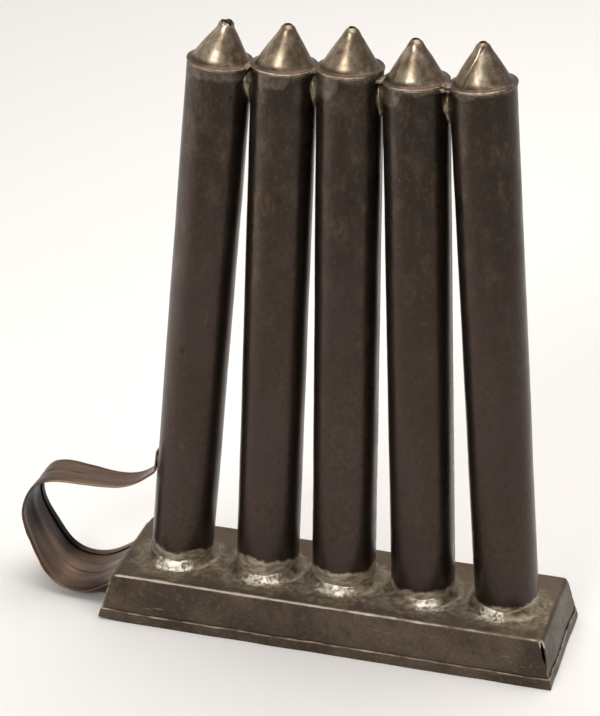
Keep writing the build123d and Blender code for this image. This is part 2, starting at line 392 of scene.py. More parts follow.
tipCap = {
    "height": 16.0,
    "seam": 0.35,
    "sheet": 0.45,
    "radius": 12.45,
    "brimEdge": ((-0.05, 0.0), (0.14, 0.12), (0.14, 0.34), (-0.1, 0.5)),  # out from the radius, up
    "brimTop": ((11.9, 0.68), (11.4, 0.86), (11.0, 1.08), (10.7, 1.4)),
    "brimUnder": ((10.1, 1.1), (10.9, 0.6), (12.0, 0.15)),
    "coneFoot": (10.5, 1.5),
    "coneStart": 1.75,
    "insideFoot": 2.2,
    "bulge": 0.3,
    "shoulder": 0.35,
    "nose": 0.45,
    "hole": 1.3,
    "offCentre": ((1.3, 0.1), (0.85, 0.2), (0.7, -0.1), (0.2, 0.0), (0.55, 0.1)),
    "lapWidth": 3.0,
    "lapFoot": 1.2,
    "seamAngle": (80, 120, 60, 95, -138),
    "seamProud": (0.2, 0.2, 0.2, 0.25, 0.28),
    "lip": (0.35, 0.3, 0.75, 0.45, 0.55),
    "lipAngle": 30,
    "torn": 1,  # the tip that is torn open
    "notches": ((-20, 22, 1.0), (-140, 18, 0.6)),  # angle, width in degrees and share
    "notchDepth": 1.5,
    # the side of each tip that is darkened as painted shade, in degrees
    "shadedSideAngle": 5,
    "steps": 120,
    "coneRows": 26,
    "insideRows": 8,
}


def makeTip(number, line):
    cap, i = tipCap, number - 1
    (coneRadius, coneRise), top = cap["coneFoot"], cap["height"]
    slope = (top - coneRise) / (coneRadius - cap["hole"])
    lift = cap["sheet"] * math.hypot(1, slope)
    outside = [(cap["radius"] + out, z) for out, z in cap["brimEdge"]] + list(cap["brimTop"])
    for row in range(1, cap["coneRows"] + 1):
        share = row / cap["coneRows"]
        z = cap["coneStart"] + (top - cap["coneStart"]) * share
        bulge = cap["bulge"] * math.sin(math.pi * share)
        bulge += cap["shoulder"] * smooth(share, 0.72, 0.93)
        nose = cap["nose"] * smooth(share, 0.93, 1.0)
        outside.append((coneRadius - (z - coneRise) / slope + bulge - nose, z))
    inside = []
    for row in range(cap["insideRows"]):
        z = top - lift - (top - lift - cap["insideFoot"]) * row / (cap["insideRows"] - 1)
        inside.append((coneRadius - (z + lift - coneRise) / slope, z))
    bm = spinProfile(outside + inside + list(cap["brimUnder"]), cap["steps"])
    paintedShade = newField(bm, "paintedShade")
    markGrain(bm, 20 + number)
    for vert in bm.verts:
        x, y, z = vert.co
        radius, angle, out = polar(x, y)
        swell = 0.10 * lumps(x, y, z, 7.0, number) + 0.012 * lumps(x, y, z, 1.8, number + 9)

        # the lap is as wide all the way up
        lapSpan = cap["lapWidth"] / max(radius, 1.5) * degreesInRadian
        lap = (angle - cap["seamAngle"][i]) % 360
        if lap < lapSpan and z > cap["lapFoot"]:
            ended = smooth(lap, lapSpan * 0.75, lapSpan)
            swell += cap["seamProud"][i] * (1 - ended) * smooth(lap, 0, lapSpan * 0.12)

        # the brim is dressed up higher on one side
        towardsLip = smooth(math.cos(math.radians(angle - cap["lipAngle"])), -0.3, 0.9)
        lip = smooth(radius, 11.4, 12.4) * (0.35 + 0.65 * towardsLip)
        swell += cap["lip"][i] * lip * 0.55
        raised = cap["lip"][i] * lip * 0.8 * smooth(z, 0.05, 0.6)
        vert.co.z += raised + 0.12 * lip * lumps(x, y, 0, 3, number)

        mouth = smooth(z, top - 2.6, top - 0.2)
        if number == cap["torn"]:
            swell += mouth * (0.75 + 0.5 * lumps(x, y, 0, 1.3, 4))
            notch = 0.0
            for middle, width, share in cap["notches"]:
                notch += share * hump(turnBetween(angle, middle), width)
            cut = cap["notchDepth"] * notch + 0.35 + 0.5 * lumps(x, y, 5, 1.2, 6)
            vert.co.z -= mouth * cut
        else:
            swell += mouth * (0.08 + 0.10 * lumps(x, y, 0, 1.8, number + 3))
            vert.co.z -= mouth * (0.12 + 0.18 * abs(lumps(x, y, 3, 1.6, number + 5)))
        vert.co += out * swell
        rise = smooth(z, 1.5, top)
        vert.co.x += cap["offCentre"][i][0] * rise
        vert.co.y += cap["offCentre"][i][1] * rise

        # painted shade: darker in the brim's crease, round the wick hole, along the lap's edge and
        # down the right flank, away from the key lamp
        edgeOfLap = hump(lap - lapSpan, lapSpan * 0.12) if z > cap["lapFoot"] else 0
        rim = 0.85 * (1 - smooth(z, 1.1, 3.4)) * smooth(z, 0.25, 0.6)
        hole = 0.3 * smooth(z, top - 0.5, top - 0.1)
        towardsShadedSide = math.cos(math.radians(angle - cap["shadedSideAngle"]))
        flank = 0.72 * smooth(towardsShadedSide, -0.1, 0.85)
        vert[paintedShade] = max(rim, hole, edgeOfLap * 0.85, flank)
    place = line.place @ Matrix.Translation((0, 0, line.length + cap["seam"]))
    return finishPiece(bm, f"TipCap_{number}", f"tip_cap_{number}", "tip_tin", place, 38)


tubeShell = {
    "footRadius": 12.7,
    "topRadius": 12.45,
    "mouth": 12.0,
    "sheet": 0.45,
    "tail": 1.7,  # below the top of the deck
    "rowHeight": 2.0,
    "steps": 120,
    "dent": 0.12,
    "dentSize": (18.0, 26.0),  # across and along
    "seamAngle": (98, 110, 8, 6, 58),
    "seamWidth": 5.0,
    "seamProud": 0.26,
    # solder left under each tip: middle and half width in degrees, and how far down
    "smears": (
        ((-74, 180, 3.8), (-150, 30, 6.0)),
        ((-92, 30, 5.4), (-118, 8, 7.5)),
        ((-128, 36, 9.0), (-60, 40, 1.6)),
        ((-132, 30, 7.0), (-90, 40, 1.5)),
        ((-120, 36, 2.4),),
    ),
    "footBand": (7.5, 8.5, 8.0, 5.5, 4.2),
}


def tubeRadius(height, length):
    tube = tubeShell
    taper = (tube["footRadius"] - tube["topRadius"]) / (length - tube["mouth"])
    return tube["footRadius"] - taper * max(height - tube["mouth"], 0)


def makeTube(number, line):
    tube, i, length = tubeShell, number - 1, line.length
    rows = round((length + tube["tail"]) / tube["rowHeight"])
    levels = [-tube["tail"] + (length + tube["tail"]) * row / rows for row in range(rows + 1)]
    outside = [(tubeRadius(z, length), z) for z in levels]
    inside = [(tubeRadius(z, length) - tube["sheet"], z) for z in levels[::-4] + [levels[0]]]
    bm = spinProfile(outside + inside, tube["steps"])
    solder = newField(bm, "solder")
    aged = newField(bm, "aged")
    markGrain(bm, number)
    for vert in bm.verts:
        x, y, z = vert.co
        radius, angle, out = polar(x, y)
        ends = smooth(z, 0, 10) * smooth(length - z, 0, 10)
        across, along = tube["dentSize"]
        spot = Vector((x / across, y / across, z / along + number * 11))
        swell = tube["dent"] * ends * noise.noise(spot)
        swell += 0.035 * ends * lumps(x, y, z, 6.0, number)
        girth = 360 * radius / degreesInRadian
        lap = (angle - tube["seamAngle"][i]) % 360 * radius / degreesInRadian
        isOutside = radius > tubeRadius(z, length) - tube["sheet"] / 2
        if isOutside and lap < tube["seamWidth"] * 1.5:
            ended = smooth(lap, tube["seamWidth"] * 0.6, tube["seamWidth"])
            swell += tube["seamProud"] * smooth(lap, -0.1, 0.5) * (1 - ended)
        vert.co += out * swell
        if z < levels[0] + 0.01:  # the foot is cut level with the tray
            vert.co.z = (-tube["tail"] + x * line.up.x) / line.up.z
        drop = 0.9 + 0.5 * lumps(x, y, 0, 4, number + 2)
        for middle, half, depth in tube["smears"][i]:
            away = turnBetween(angle, middle) / half
            if away < 1:
                drop = max(drop, depth * (1 - away ** 4) + 0.7 * lumps(x, y, 0, 3, number))
        foot = tube["footBand"][i] * (1 + 0.25 * lumps(x, y, 0, 9, number + 4))
        seamEdge = 0.9 - min(lap, girth - lap) * 0.9 + 0.6 * lumps(0, 0, z, 4, number) - 0.5
        # how far up the tube a point is, which darkens the colour towards the top
        vert[aged] = 0.04 + 0.96 * smooth(z / length, 0.25, 0.95)
        vert[solder] = max((drop - (length - z)) / 3, (foot - z) / 3, seamEdge * 0.5, -2.0)
    return finishPiece(bm, f"TubeShell_{number}", f"tube_{number}", "tube_tin", line.place, 40)


tipBead = {"radius": 0.42, "sunk": 0.12, "flat": 0.9, "thinnest": 0.3, "steps": 120, "around": 10}


# the line of solder between a tube and its tip
def makeTipBead(number, line):
    bead = tipBead
    ring = tubeShell["topRadius"] - bead["sunk"]
    points = []
    for k in range(bead["around"]):
        turn = math.tau * k / bead["around"]
        z = bead["radius"] * math.sin(turn) * bead["flat"]
        points.append((ring + bead["radius"] * math.cos(turn), z))
    bm = spinProfile(points, bead["steps"])
    for vert in bm.verts:
        x, y, z = vert.co
        centre = polar(x, y)[2] * ring
        fine = 0.35 * lumps(x, y, 0, 0.9, number + 5)
        size = 0.75 + 0.55 * lumps(x, y, 0, 2.2, number + 1) + fine
        vert.co = centre + (vert.co - centre) * max(size, bead["thinnest"])
        vert.co.z += 0.12 * lumps(x, y, 0, 5, number)
    markGrain(bm, 40 + number)
    place = line.place @ Matrix.Translation((0, 0, line.length + tipCap["seam"] / 2 - 0.05))
    return finishPiece(bm, f"TipBead_{number}", f"tip_solder_{number}", "solder", place, 60)


footSkirt = {
    "reach": 4.8,
    "height": 3.2,
    "sunk": 0.4,  # into the deck's sheet
    "overlap": 0.2,  # into the tube
    "curve": 2.4,
    "rows": 14,
    "steps": 144,
    # where a highlight is painted on the solder at the front of each foot: middle and half width in
    # degrees, and how far out
    "paintedHighlight": ((-92, 54, 6.0), (-84, 52, 8.0), (-92, 52, 6.0), (-68, 34, 9.5), (-106, 36, 9.0)),
}


# how much painted highlight the solder gets at a place round a tube's foot
def highlightAt(number, line, x, y):
    middle, half, reach = footSkirt["paintedHighlight"][number - 1]
    spot = Vector((x - line.foot.x, y))
    turn = turnBetween(math.degrees(math.atan2(spot.y, spot.x)), middle) / half
    away = spot.length - tubeShell["footRadius"]
    return (1 - smooth(turn, 0.3, 1.0)) * (1 - smooth(away, reach * 0.35, reach))


# solder run round a tube where it goes through the deck
def makeFootSkirt(number, line):
    skirt, foot = footSkirt, tubeShell["footRadius"]
    points = [(foot - skirt["overlap"], -0.45)]
    for row in range(skirt["rows"] + 1):
        share = row / skirt["rows"]
        z = -skirt["sunk"] + (skirt["height"] + skirt["sunk"]) * share ** skirt["curve"]
        points.append((foot + skirt["reach"] * (1 - share), z))
    points.append((foot - skirt["overlap"], skirt["height"]))
    bm = spinProfile(points, skirt["steps"])
    # the skirt's front gets a painted highlight
    paintedHighlight = newField(bm, "paintedHighlight")
    for vert in bm.verts:
        x, y, z = vert.co
        vert[paintedHighlight] = highlightAt(number, line, x + line.foot.x, y)
        radius, angle, out = polar(x, y)
        beyond = max(radius - foot, 0)
        ringX, ringY = out.x * 12, out.y * 12
        tall = 0.85 + 0.45 * lumps(ringX, ringY, 0, 8, number)
        tall += 0.1 * lumps(ringX, ringY, 0, 3.5, number + 3)
        wide = 0.9 + 0.25 * lumps(ringX, ringY, 2, 6, number + 7)
        onSkirt = smooth(beyond, 0.1, 1.0) * (1 - smooth(beyond, 3.4, 4.6))
        if z > 0.01 - skirt["sunk"]:
            vert.co.z = z * max(tall, 0.3) if z > 0 else z
            bumps = 0.18 * lumps(x, y, 0, 4.2, number) + 0.03 * lumps(x, y, 0, 1.6, number + 2)
            vert.co.z += onSkirt * (bumps + 0.08)
        vert.co += out * beyond * (max(wide, 0.5) - 1)
        vert.co.x += line.lean * vert.co.z
    markGrain(bm, 50 + number)
    place = Matrix.Translation(line.foot)
    return finishPiece(bm, f"FootSkirt_{number}", f"foot_solder_{number}", "solder", place, 60)


bridgeDrop = {
    "halfSize": (3.0, 5.2, 7.0),
    "front": (1.3, 1.15, 1.2, 1.15),  # how far the four drops stand out, as shares
    "poolSize": (2.6, 3.4, 1.1),
    "pool": (0.8, 0.6, 0.9, 1.5),  # shares of that size
    "poolForward": 2.6,
    "poolRise": 1.2,
    "below": 1.0,
    "aside": 0.3,
    "levelDown": 6,  # where the gap's middle is taken
}


# solder dripped into the gap between two tubes, with a little pool between their brims
def makeBridge(number, left, right):
    bridge = bridgeDrop
    topZ = min(left.at(left.length).z, right.at(right.length).z) - bridge["below"]
    down = bridge["levelDown"]
    middleX = (left.at(left.length - down).x + right.at(right.length - down).x) / 2
    sizeX, sizeY, sizeZ = bridge["halfSize"]
    bm = bmesh.new()
    drop = bmesh.ops.create_icosphere(bm, subdivisions=5, radius=1.0)["verts"]
    for vert in drop:
        x, y, z = vert.co
        bulge = 0.62 + 0.38 * smooth(z, -0.7, 0.5)
        wave = 1 + 0.12 * noise.noise(vert.co * 1.8 + Vector((number * 5, 0, 0)))
        vert.co = Vector((x * sizeX * bulge, y * sizeY * bulge, z * sizeZ)) * wave
        if y < 0:
            vert.co.y *= bridge["front"][number - 1]
        vert.co.z += topZ - sizeZ
    pool = bmesh.ops.create_icosphere(bm, subdivisions=4, radius=1.0)["verts"]
    size, (sizeX, sizeY, sizeZ) = bridge["pool"][number - 1], bridge["poolSize"]
    for vert in pool:
        x, y, z = vert.co
        wave = 1 + 0.25 * noise.noise(vert.co * 1.8 + Vector((0, number * 5, 0)))
        y = y * sizeY - bridge["poolForward"] * size
        level = Vector((0, 0, topZ + bridge["poolRise"]))
        vert.co = Vector((x * sizeX * size, y, z * sizeZ * size)) * wave + level
    # the drops get a little painted highlight all over
    paintedHighlight = newField(bm, "paintedHighlight")
    for vert in bm.verts:
        vert[paintedHighlight] = 0.15
        vert.co.x += middleX - bridge["aside"]
    markGrain(bm, 60 + number)
    return finishPiece(bm, f"BridgeDrop_{number}", f"bridge_solder_{number}", "solder", None, 70)


trayShell = {
    "length": 177.4,
    "width": 49.8,
    "middle": 19.66,
    "sheet": 0.5,
    "endFold": 3.0,
    "sideFold": 1.2,
    "endSlope": 0.2462,
    "sideSlope": 0.1884,
    # how the sheet goes on: down round the folds, down the walls, then out and up as the hem
    "foldDrops": (0.04, 0.12, 0.25, 0.42, 0.65, 0.95, 1.35, 1.8, 2.4, 3.2, 4.2),
    "wallLevels": (14.2, 13.0, 11.8, 10.6, 9.4, 8.2, 7.0, 6.0, 5.2, 4.6, 4.0, 3.0, 2.0, 1.2, 0.6),
    "hem": ((0.34, 0.06), (0.28, 0.3), (0.36, 0.52), (0.62, 0.6), (1.3, 0.6), (2.2, 0.56),
            (3.0, 0.57), (3.6, 0.6), (4.05, 0.6), (4.4, 0.5)),
    "cells": (96, 26),
    "holeRadius": 12.85,
    "crackTop": 19.1,
    "crackFoot": 8.0,
    "bentUp": 0.7,  # the rim at the front left
}


# the middle of the tray's sheet in one view: how far out it is at each height
class FoldLine:
    def __init__(self, across, slope, fold):
        half = trayShell["sheet"] / 2
        self.top = deckHeight - half
        self.slope = slope
        self.edge = across / 2 + half * (slope - math.hypot(1, slope))
        self.fold = fold - half
        turn = math.pi / 2 - math.atan(slope)
        self.back = self.fold * math.tan(turn / 2)
        self.drop = self.fold * (1 - math.cos(turn))

    def out(self, z):
        down = self.top - z
        if down >= self.drop:
            return self.edge + self.slope * down
        turn = math.acos(1 - max(down, 0) / self.fold)
        return self.edge - self.back + self.fold * math.sin(turn)


def foldLines():
    tray = trayShell
    ends = FoldLine(tray["length"], tray["endSlope"], tray["endFold"])
    sides = FoldLine(tray["width"], tray["sideSlope"], tray["sideFold"])
    return ends, sides


def makeTray(lines):
    tray = trayShell
    ends, sides = foldLines()
    top = ends.top
    bm = bmesh.new()
    bmesh.ops.create_grid(bm, x_segments=tray["cells"][0], y_segments=tray["cells"][1], size=1.0)
    wearAndHighlight = newField(bm, "wearAndHighlight")
    share = bm.verts.layers.float_vector.new("share")
    leaf = newField(bm, "leaf")
    for vert in bm.verts:
        vert[share] = vert.co.copy()
        vert.co = Vector((vert.co.x * ends.out(top), vert.co.y * sides.out(top), top))

    # the sheet is carried on over the folds, down the walls, and out and up again as the hem
    levels = [(top - drop, 0.0) for drop in tray["foldDrops"]]
    levels += [(z, 0.0) for z in tray["wallLevels"]] + list(tray["hem"])
    edge = [e for e in bm.edges if e.is_boundary]
    for z, proud in levels:
        shell = bmesh.ops.extrude_edge_only(bm, edges=edge)["geom"]
        edge = [g for g in shell if isinstance(g, bmesh.types.BMEdge) and g.is_boundary]
        for vert in {v for e in edge for v in e.verts}:
            s = vert[share]
            vert.co = Vector((s.x * (ends.out(z) + proud), s.y * (sides.out(z) + proud), z))
            vert[leaf] = proud
            onSide, onEnd = abs(s.y) > 0.999, abs(s.x) > 0.999
            # wear and painted highlight along the long sides' top fold, stronger towards the left
            # end, and on the hem's top edge
            foldWearAndHighlight = 0.9 * hump(top - z - 0.4, 0.3) * (0.76 - 0.26 * s.x)
            vert[wearAndHighlight] = foldWearAndHighlight * (0.25 if onEnd else 1.0) if onSide else 0.0
            if proud > 0.45 and z > 3.8:
                vert[wearAndHighlight] = 0.45

    # holes for the tubes
    for line in lines:
        centre = line.foot - Vector((tray["middle"], 0, 0))
        near = [f for f in bm.faces if f.calc_center_median().z > top - 0.02
                and (f.calc_center_median().xy - centre.xy).length < tray["holeRadius"] - 0.4]
        bmesh.ops.delete(bm, geom=near, context="FACES")
        ring = [v for v in bm.verts if v.is_boundary and v.co.z > top - 0.02
                and (v.co.xy - centre.xy).length < tray["holeRadius"] + 4]
        for vert in ring:
            away = (vert.co.xy - centre.xy).normalized() * tray["holeRadius"]
            vert.co.xy = centre.xy + away

    # the front right corner has come apart under the deck
    def atCorner(vert):
        return vert[share].x > 0.999 and vert[share].y < -0.999

    def atCrack(vert):
        return atCorner(vert) and tray["crackFoot"] < vert.co.z < tray["crackTop"]

    seam = [e for e in bm.edges if all(atCrack(v) for v in e.verts)
            and abs(e.verts[0].co.z - e.verts[1].co.z) > 0.01]
    bmesh.ops.split_edges(bm, edges=seam)
    for vert in [v for v in bm.verts if atCrack(v)]:
        faces, z = vert.link_faces, vert.co.z
        middle = sum((f.calc_center_median() for f in faces), Vector()) / len(faces)
        gape = smooth(z, tray["crackFoot"], 13.5) * (1 - 0.6 * smooth(z, 16.5, tray["crackTop"]))
        jag = 0.18 * lumps(0, 0, z, 1.1, 3)
        vert[wearAndHighlight] = 0.8 * smooth(z, 15.0, 17.0)
        awayX, awayY = vert.co.x - middle.x, vert.co.y - middle.y
        if awayX > awayY and abs(awayX) > 0.3 and awayY > -0.3:
            vert.co.x -= gape * (0.95 + jag)
        else:
            vert.co.y += gape * (0.45 + jag)
            vert.co.x += gape * 0.35

    bmesh.ops.recalc_face_normals(bm, faces=bm.faces)
    if max(bm.faces, key=lambda f: f.calc_center_median().z).normal.z < 0:
        bmesh.ops.reverse_faces(bm, faces=bm.faces)
    halo = newField(bm, "halo")
    # the deck gets the same painted highlight in front of each foot
    paintedHighlight = newField(bm, "paintedHighlight")
    deck = newField(bm, "deck")
    for vert in bm.verts:
        x, y, z = vert.co
        onDeck = smooth(z, top - 1.2, top - 0.1)
        vert[deck] = onDeck
        dish = 0.0
        vert[halo] = -1.0
        for number, line in enumerate(lines, 1):
            fromTube = math.hypot(x + tray["middle"] - line.foot.x, y)
            away = fromTube - tubeShell["footRadius"]
            dish = max(dish, hump(away, 9))
            front = -y / fromTube
            # the solder halo reaches further at the front and less behind and between the tubes,
            # which paints shade there
            reach = 5.5 + 7.5 * smooth(front, -0.1, 0.9) + 2.5 * lumps(x, y, 0, 8, number)
            vert[halo] = max(vert[halo], (1.0 - away / reach) * 1.1)
            vert[paintedHighlight] = max(vert[paintedHighlight], highlightAt(number, line, x + tray["middle"], y) * onDeck)
        vert[halo] = vert[halo] * onDeck - (1 - onDeck)
        s = vert[share]
        if z > 1:
            free = smooth(z, 1.0, 6.0) * (1 - smooth(z, top - 0.8, top))
            wave = 0.28 * lumps(x, 0, z, 24, 2) + 0.10 * lumps(x, 0, z, 8, 5) - 0.15
            if abs(s.y) > 0.999 and abs(s.x) < 0.995:
                vert.co.y += math.copysign(wave * free, s.y)
            if abs(s.x) > 0.999 and abs(s.y) < 0.98:
                endWave = 0.3 * lumps(0, y, z, 16, 7) - 0.2
                vert.co.x += math.copysign(endWave * free, s.x)
            buckle = 0.16 * lumps(x, y, 0, 22, 8) + 0.06 * lumps(x, y, 0, 7, 9)
            vert.co.z += onDeck * (buckle - 0.12 - 0.15 * dish)
        low = 1 - smooth(z, 4.5, 8.0)  # the hem is not quite even
        if abs(s.y) > 0.999:
            vert.co.y -= math.copysign(low * (0.2 - 0.25 * lumps(x, 0, 0, 14, 12)), s.y)
        if abs(s.x) > 0.999:
            vert.co.x -= math.copysign(low * (0.35 - 0.35 * lumps(0, y, 0, 11, 15)), s.x)
        if vert[leaf] > 0.45:
            vert.co.z += 0.25 * lumps(x, y, 0, 7, 14) * smooth(z, 1.5, 4.0)
    markGrain(bm, 0)
    for vert in bm.verts:
        x, y, z = vert.co
        lift = tray["bentUp"] * smooth(-x, 82, 93) * smooth(-y, 20, 28)
        vert.co.z += lift * (1 - smooth(z, 0, 12))
    place = Matrix.Translation((tray["middle"], 0, 0))
    return finishPiece(bm, "TrayShell", "tray", "tray_tin", place, 42, tray["sheet"])


cornerSeam = {
    "radius": 0.5,
    "proud": 0.12,
    "top": 17.9,
    "foot": 1.0,
    "splitTop": 8.6,  # where the front right corner has come apart
    "rows": 26,
    "around": 12,
    "corners": {
        "front_left": (-1, -1),
        "front_right": (1, -1),
        "back_left": (-1, 1),
        "back_right": (1, 1),
    },
}


# solder down one corner of the tray
def makeCornerSeam(name, sideX, sideY):
    seam = cornerSeam
    ends, sides = foldLines()
    topZ = seam["splitTop"] if name == "front_right" else seam["top"]
    bm = bmesh.new()
    circle = bmesh.ops.create_circle(bm, segments=seam["around"], radius=seam["radius"],
                                     cap_ends=True)["verts"]
    face = circle[0].link_faces[0]
    for row in range(seam["rows"]):
        grown = bmesh.ops.extrude_face_region(bm, geom=[face])["geom"]
        ring = [g for g in grown if isinstance(g, bmesh.types.BMVert)]
        bmesh.ops.translate(bm, verts=ring, vec=(0, 0, 1))
        if row:
            bmesh.ops.delete(bm, geom=[face], context="FACES_ONLY")
        face = [g for g in grown if isinstance(g, bmesh.types.BMFace)][0]
    bmesh.ops.recalc_face_normals(bm, faces=bm.faces)
    for vert in bm.verts:
        level = round(vert.co.z) / seam["rows"]
        z = seam["foot"] + (topZ - seam["foot"]) * level
        size = 0.75 + 0.5 * lumps(0, 0, z, 2.2, sideX + 3 * sideY)
        size += 0.3 * lumps(0, 0, z, 0.8, sideX + sideY + 4)
        size *= smooth(level, -0.1, 0.12) * smooth(1 - level, -0.1, 0.12)
        reach = max(size, 0.15)
        x = trayShell["middle"] + sideX * (ends.out(z) + seam["proud"]) + vert.co.x * reach
        y = sideY * (sides.out(z) + seam["proud"]) + vert.co.y * reach
        vert.co = Vector((x, y, z))
    markGrain(bm, 70 + sideX + 2 * sideY)
    return finishPiece(bm, f"CornerSeam_{name}", f"corner_solder_{name}", "solder", None, 60)


strap = {
    "tubeEndWidth": 6.5,
    "trayEndWidth": 40.0,
    "sheet": 0.4,
    "hem": 3.6,  # at the wide end
    "foldRadius": 0.23,
    "edgeInset": 0.43,
    "ridge": 0.45,
    "groove": 0.16,
    "rows": 150,
    "across": 18,
    "off": 0.45,
    "samples": 240,
    "arcSteps": 16,
    "easing": 170,
    "tabBend": 57.6,
    "tabLength": 8.9,
    "trayTabTop": 17.4,
    "trayTabLength": 5.2,
    "tabFold": 2.2,
    # out from the deck's fold, up from the floor, and the bend's radius
    "grip": ((0.0, 48.4, 14.0), (38.7, 50.6, 8.5), (45.4, 33.5, 9.0),
             (31.8, 5.2, 9.0), (17.0, 1.8, 14.0)),
}


# the straight runs between the bends are bowed a little, except on the two tabs
def relaxRoute(line):
    last = strap["samples"]
    points = [spot[0] for spot in alongLine(line, last + 1)[0]]
    for turn in range(strap["easing"]):
        eased = [points[0]]
        for k in range(1, last):
            share = 0.5 * smooth(k / last, 0.09, 0.16) * (1 - smooth(k / last, 0.88, 0.95))
            eased.append(points[k].lerp((points[k - 1] + points[k + 1]) / 2, share))
        points = eased + [points[-1]]
    return points


# the strap's middle line as closely set (x, z) points, from the tube down to the tray
def strapRoute(firstLine):
    tray = trayShell
    left = tray["middle"] - tray["length"] / 2

    def tubeSide(z):
        height = z - deckHeight
        radius = tubeRadius(height, firstLine.length)
        middle = firstLine.foot.x + firstLine.lean * height
        return middle - radius * math.hypot(1, firstLine.lean) - strap["off"]

    def wallSide(z):
        return left - (deckHeight - z) * tray["endSlope"] - strap["off"]

    tabTop, tabBend = strap["tabBend"] + strap["tabLength"], strap["tabBend"]
    trayTop, trayBend = strap["trayTabTop"], strap["trayTabTop"] - strap["trayTabLength"]
    corners = [(tubeSide(tabTop), tabTop, 0), (tubeSide(tabBend), tabBend, strap["tabFold"])]
    corners += [(left - out, z, radius) for out, z, radius in strap["grip"]]
    corners += [(wallSide(trayBend), trayBend, strap["tabFold"]), (wallSide(trayTop), trayTop, 0)]
    line = [Vector(corners[0][:2])]
    for before, here, after in zip(corners, corners[1:], corners[2:]):
        corner = Vector(here[:2])
        back = (Vector(before[:2]) - corner).normalized()
        on = (Vector(after[:2]) - corner).normalized()
        half = back.angle(on) / 2
        reach = here[2] / math.tan(half)
        centre = corner + (back + on).normalized() * here[2] / math.sin(half)
        start, end = corner + back * reach - centre, corner + on * reach - centre
        swing = start.angle(end)
        for k in range(strap["arcSteps"] + 1):
            share = k / strap["arcSteps"]
            spoke = start * math.sin((1 - share) * swing) + end * math.sin(share * swing)
            line.append(centre + spoke / math.sin(swing))
    line.append(Vector(corners[-1][:2]))
    return relaxRoute(line)


# count evenly spaced (point, direction, share of the length) spots, and the length
def alongLine(line, count):
    lengths = [0.0]
    for a, b in zip(line, line[1:]):
        lengths.append(lengths[-1] + (b - a).length)
    places, k = [], 0
    for step in range(count):
        want = lengths[-1] * step / (count - 1)
        while k < len(lengths) - 2 and lengths[k + 1] < want:
            k += 1
        share = (want - lengths[k]) / max(lengths[k + 1] - lengths[k], 1e-9)
        places.append((line[k].lerp(line[k + 1], share), want / lengths[-1]))
    spots = []
    for k, (point, share) in enumerate(places):
        ahead = places[min(k + 1, count - 1)][0] - places[max(k - 1, 0)][0]
        spots.append((point, ahead.normalized(), share))
    return spots, lengths[-1]


def makeHandle(firstLine):
    spots, length = alongLine(strapRoute(firstLine), strap["rows"] + 1)
    fold = strap["foldRadius"]
    folded = [("hem", 1 - k / 2, 2 * fold) for k in range(3)]
    for k in range(1, 5):
        turn = math.pi * k / 5
        folded.append(("edge", math.sin(turn) * fold, fold + fold * math.cos(turn)))

    # the sheet's outline across the strap: side, kind, share of the way out, and depth
    around = [(-1, *spot) for spot in folded]
    around += [(0, "sheet", 2 * k / strap["across"] - 1, 0.0) for k in range(strap["across"] + 1)]
    around += [(1, *spot) for spot in reversed(folded)]
    bm = bmesh.new()
    bmesh.ops.create_grid(bm, x_segments=len(around) - 1, y_segments=strap["rows"], size=0.5)
    grain = bm.verts.layers.float_vector.new("grain")
    wearAndHighlight = newField(bm, "wearAndHighlight")
    paintedShade = newField(bm, "paintedShade")
    for vert in bm.verts:
        column = round((vert.co.x + 0.5) * (len(around) - 1))
        row = round((vert.co.y + 0.5) * strap["rows"])
        side, kind, share, depth = around[column]
        point, ahead, along = spots[row]
        width = strap["tubeEndWidth"] + (strap["trayEndWidth"] - strap["tubeEndWidth"]) * along
        half = width / 2 - strap["edgeInset"]
        hem = strap["hem"] * (0.3 + 0.7 * along)
        if kind == "sheet":
            y = share * half
        elif kind == "edge":
            y = side * (half + share)
        else:
            y = side * (half - hem * share)
        inward = Vector((-ahead.y, ahead.x))  # towards the hand's side of the loop
        ridge = strap["ridge"] * hump(y, width * 0.07) * smooth(along, 0.12, 0.3)
        ridge *= 1 - smooth(along, 0.9, 0.97)
        groove = -strap["groove"] * hump(abs(y) - half + hem + 0.5, 0.8) * smooth(along, 0.15, 0.3)
        wave = 0.16 * lumps(y, along * length, 0, 13, 3) * smooth(along, 0.05, 0.15)
        wave *= 1 - smooth(along, 0.88, 0.96)
        edgeWave = 0.35 * lumps(0, along * length, side * 9, 11, 6) * smooth(along, 0.1, 0.2)
        edgeWave *= 1 - smooth(along, 0.85, 0.95)
        offset = -0.2 + depth + ridge * 0.7 + groove + wave
        spot = point + inward * offset
        vert.co = Vector((spot.x, y + edgeWave * abs(y) / half * side, spot.y))
        vert[grain] = Vector((y * 0.001 + 3.0, along * length * 0.001, depth * 0.001))
        across = y / half  # -1 is the edge nearer the front
        # painted shade inside the loop's bend and on its far side
        inBend = smooth(along, 0.38, 0.47)
        bend = inBend * (1 - smooth(along, 0.56, 0.76))
        bend *= 0.5 + 0.5 * smooth(across, -0.85, -0.45)
        farSide = inBend * (1 - smooth(along, 0.72, 0.88)) * smooth(across, 0.1, 0.8)
        vert[paintedShade] = max(bend, farSide)
        # wear and painted highlight on the middle ridge and the folded edges
        onRidge = 0.5 * hump(y, width * 0.05) * smooth(along, 0.1, 0.3) * (1 - vert[paintedShade])
        vert[wearAndHighlight] = 0.45 if kind == "edge" else onRidge
    bmesh.ops.recalc_face_normals(bm, faces=bm.faces)
    return finishPiece(bm, "HandleStrap", "handle", "handle_tin", None, 50, strap["sheet"])


tubeTabSolder = {"share": 0.62, "sunk": 0.35, "halfSize": (1.0, 4.6, 4.4), "hugRadius": 12.6}


